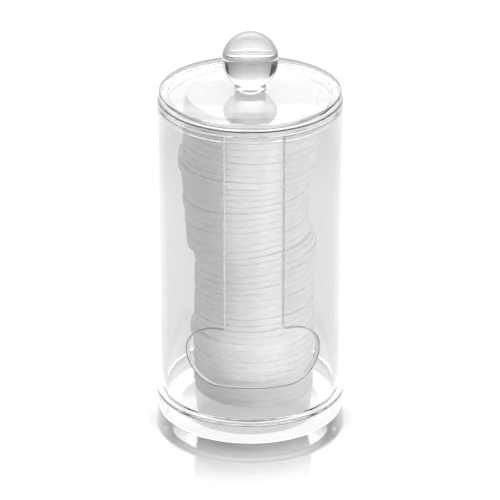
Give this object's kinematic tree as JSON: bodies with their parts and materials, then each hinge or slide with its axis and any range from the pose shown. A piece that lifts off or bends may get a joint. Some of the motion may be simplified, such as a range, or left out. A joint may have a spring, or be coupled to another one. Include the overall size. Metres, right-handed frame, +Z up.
{
  "type": "cotton pad dispenser",
  "caption": "Clear upright tube with a keyhole front, drafted foot and lift-off lid with ball knob, filled with a stack of round cotton pads.",
  "frame": {"origin": "centre of the foot's underside, on the surface it stands on", "axes": "+Z up through the knob; the keyhole faces -Y; +X to the right seen from the keyhole's side"},
  "size_m": [0.09, 0.09, 0.1889],
  "materials": {
    "clear_plastic": "clear, polished",
    "lid_plastic": "clear, polished",
    "cotton": "soft, matt, bleached white"
  },
  "bodies": {
    "jar": {"foot": "clear_plastic", "jar_tube": "clear_plastic", "cotton_pad_01": "cotton", "cotton_pad_02": "cotton", "cotton_pad_03": "cotton", "cotton_pad_04": "cotton", "cotton_pad_05": "cotton", "cotton_pad_06": "cotton", "cotton_pad_07": "cotton", "cotton_pad_08": "cotton", "cotton_pad_09": "cotton", "cotton_pad_11": "cotton", "cotton_pad_12": "cotton", "cotton_pad_13": "cotton", "cotton_pad_14": "cotton", "cotton_pad_15": "cotton", "cotton_pad_16": "cotton", "cotton_pad_17": "cotton", "cotton_pad_18": "cotton", "cotton_pad_19": "cotton", "cotton_pad_20": "cotton", "cotton_pad_21": "cotton", "cotton_pad_22": "cotton", "cotton_pad_23": "cotton", "cotton_pad_24": "cotton", "cotton_pad_25": "cotton", "cotton_pad_26": "cotton", "cotton_pad_27": "cotton", "cotton_pad_28": "cotton", "cotton_pad_29": "cotton", "cotton_pad_30": "cotton", "cotton_pad_31": "cotton", "cotton_pad_32": "cotton", "cotton_pad_33": "cotton", "cotton_pad_34": "cotton", "cotton_pad_35": "cotton", "cotton_pad_36": "cotton", "cotton_pad_37": "cotton", "cotton_pad_38": "cotton", "cotton_pad_39": "cotton", "cotton_pad_40": "cotton", "cotton_pad_41": "cotton", "cotton_pad_42": "cotton", "cotton_pad_43": "cotton", "cotton_pad_44": "cotton", "cotton_pad_45": "cotton"},
    "lid": {"lid_ring": "lid_plastic", "lid_plate": "lid_plastic", "knob": "lid_plastic"},
    "drawn_pad": {"cotton_pad_10": "cotton"}
  },
  "joints": [
    {"name": "lid_lift", "type": "slide", "parent": "jar", "child": "lid", "axis": [0, 0, 1], "range_m": [0, 0.04]},
    {"name": "pad_draw", "type": "slide", "parent": "jar", "child": "drawn_pad", "axis": [0, -1, 0], "range_m": [0, 0.075]}
  ]
}
